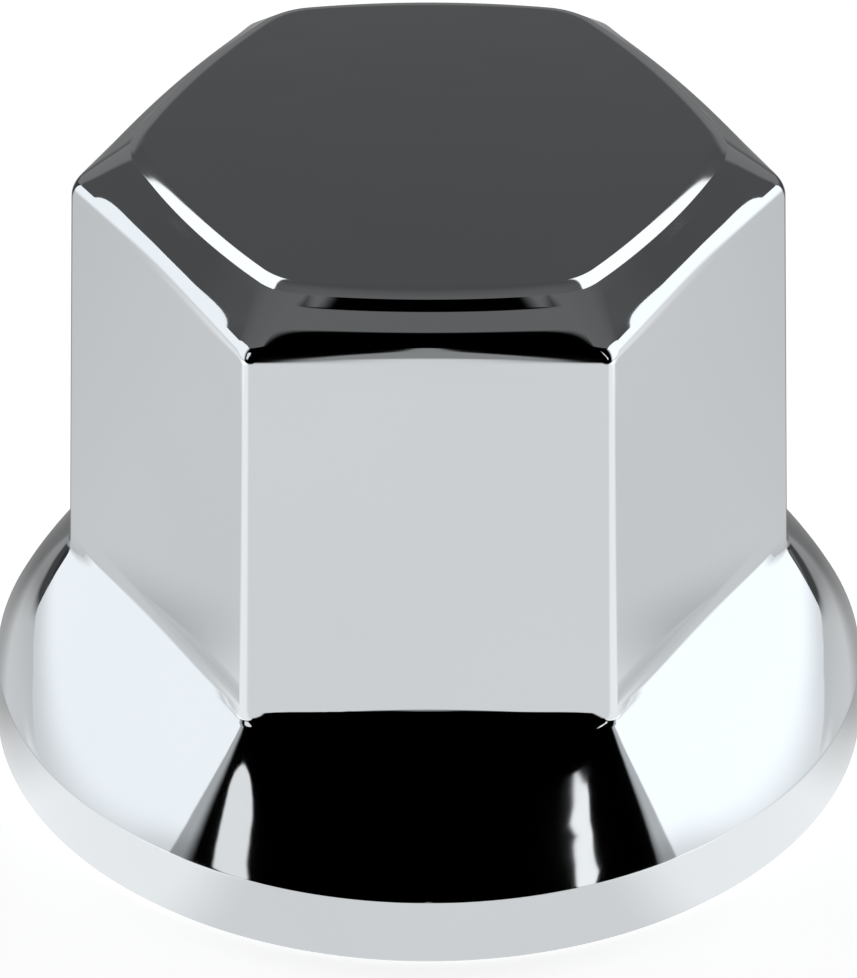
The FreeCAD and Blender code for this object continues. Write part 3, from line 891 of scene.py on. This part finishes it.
def painted_floor_reflection(tree):
    """The floor's painted reflection, which only the plating sees: white around the cap, dimmer farther out,
    with painted pools of light and painted shadow of the cap.
    """
    x, y, _ = axes_of(tree, tree.nodes.new("ShaderNodeNewGeometry").outputs["Position"])
    side = product(tree, math_node(tree, "ABSOLUTE", x), 1 / MM)
    back = product(tree, y, 1 / MM)
    ahead = product(tree, back, -1.0)
    turn = math_node(tree, "ABSOLUTE", turn_of(tree, x, y))

    # painted pools of light toward the front corners and far to the side
    corner = math_node(tree, "MULTIPLY_ADD", band(tree, turn, *CORNER_TURNS), CORNER_GAIN, 1.0)
    outer = product(tree, ramp_node(tree, side, *OUTER_PLACES), ramp_node(tree, turn, *OUTER_TURNS))
    outer = math_node(tree, "MULTIPLY_ADD", outer, OUTER_GAIN, 1.0)
    # painted shade round to the side and the back, and painted shadow of the cap beside and behind it
    sides = ramp_node(tree, turn, *SIDE_TURNS)
    rear = ramp_node(tree, turn, *BACK_TURNS)
    beside = mixed(tree, ramp_node(tree, turn, *BESIDE_TURNS), 1.0, ramp_node(tree, side, *BESIDE_PLACES))
    slant = math_node(tree, "SUBTRACT", back, math_node(tree, "MULTIPLY_ADD", side, *SLANT))
    behind = product(tree, ramp_node(tree, slant, *SLANT_EDGE), ramp_node(tree, side, *SLANT_SIDES))
    behind = mixed(tree, behind, 1.0, ramp_node(tree, side, *SLANT_SHARES))
    light = product(tree, corner, FLOOR_NEAR, outer, sides, rear, beside, behind)

    # painted shade far behind and far ahead, but for a paler strip
    far = product(tree, ramp_node(tree, back, *FAR_PLACES), ramp_node(tree, turn, *FAR_TURNS))
    light = mixed(tree, far, light, FLOOR_FAR)
    inside_strip = math_node(tree, "SUBTRACT", math_node(tree, "MULTIPLY_ADD", ahead, *STRIP_WIDTH), side)
    strip = ramp_node(tree, inside_strip, *STRIP_EDGE, 0.0, FLOOR_STRIP)
    return mixed(tree, ramp_node(tree, ahead, *AHEAD_PLACES), light, strip)


def add_floor():
    """A matt floor that glows to white for the camera, and that the plating sees as a painted reflection of
    light and shade, with painted shadow of the cap.
    """
    material, tree, glow = glow_material("floor_white", WHITE)
    matt = tree.nodes.new("ShaderNodeBsdfDiffuse")
    matt.inputs["Color"].default_value = FLOOR_COLOUR
    path = tree.nodes.new("ShaderNodeLightPath")
    tree.links.new(product(tree, path.outputs["Is Camera Ray"], FLOOR_GLOW), glow.inputs["Strength"])
    direct = tree.nodes.new("ShaderNodeAddShader")
    tree.links.new(matt.outputs[0], direct.inputs[0])
    tree.links.new(glow.outputs[0], direct.inputs[1])
    # What the plating sees of the floor is this painted reflection, in place of the floor's own light and
    # shade.
    image = tree.nodes.new("ShaderNodeEmission")
    tree.links.new(painted_floor_reflection(tree), image.inputs["Strength"])
    chosen = tree.nodes.new("ShaderNodeMixShader")
    mirrored = math_node(tree, "MAXIMUM", path.outputs["Is Glossy Ray"], path.outputs["Is Transmission Ray"])
    tree.links.new(mirrored, chosen.inputs["Fac"])
    tree.links.new(direct.outputs[0], chosen.inputs[1])
    tree.links.new(image.outputs[0], chosen.inputs[2])
    tree.links.new(chosen.outputs[0], tree.nodes["Material Output"].inputs["Surface"])
    half = FLOOR_HALF
    stand_mesh("floor", [(-half, -half, 0), (half, -half, 0), (half, half, 0), (-half, half, 0)], material)


def add_camera():
    data = bpy.data.cameras.new("camera")
    data.sensor_width = SENSOR
    data.lens = FOCAL_PIXELS / PICTURE_HEIGHT * SENSOR
    data.clip_start = CLIP_START
    camera = bpy.data.objects.new("camera", data)
    ahead = VIEW_DISTANCE * math.cos(VIEW_DROP)
    rise = VIEW_DISTANCE * math.sin(VIEW_DROP)
    camera.location = (0.0, -ahead, VIEW_HEIGHT + rise)
    camera.rotation_euler = (math.pi / 2 - VIEW_DROP, 0.0, 0.0)
    bpy.context.scene.collection.objects.link(camera)
    bpy.context.scene.camera = camera


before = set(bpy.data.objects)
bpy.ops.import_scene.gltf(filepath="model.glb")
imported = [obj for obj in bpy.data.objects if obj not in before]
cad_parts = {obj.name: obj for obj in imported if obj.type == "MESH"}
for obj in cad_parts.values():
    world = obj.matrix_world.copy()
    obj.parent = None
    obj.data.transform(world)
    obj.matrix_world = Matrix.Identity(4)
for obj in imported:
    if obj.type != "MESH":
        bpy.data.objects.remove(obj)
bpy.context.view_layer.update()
bpy.context.scene.view_settings.view_transform = "Standard"
add_cap()
add_floor()
add_studio()
add_softbox(-1, "left")
add_softbox(1, "right")
add_camera()
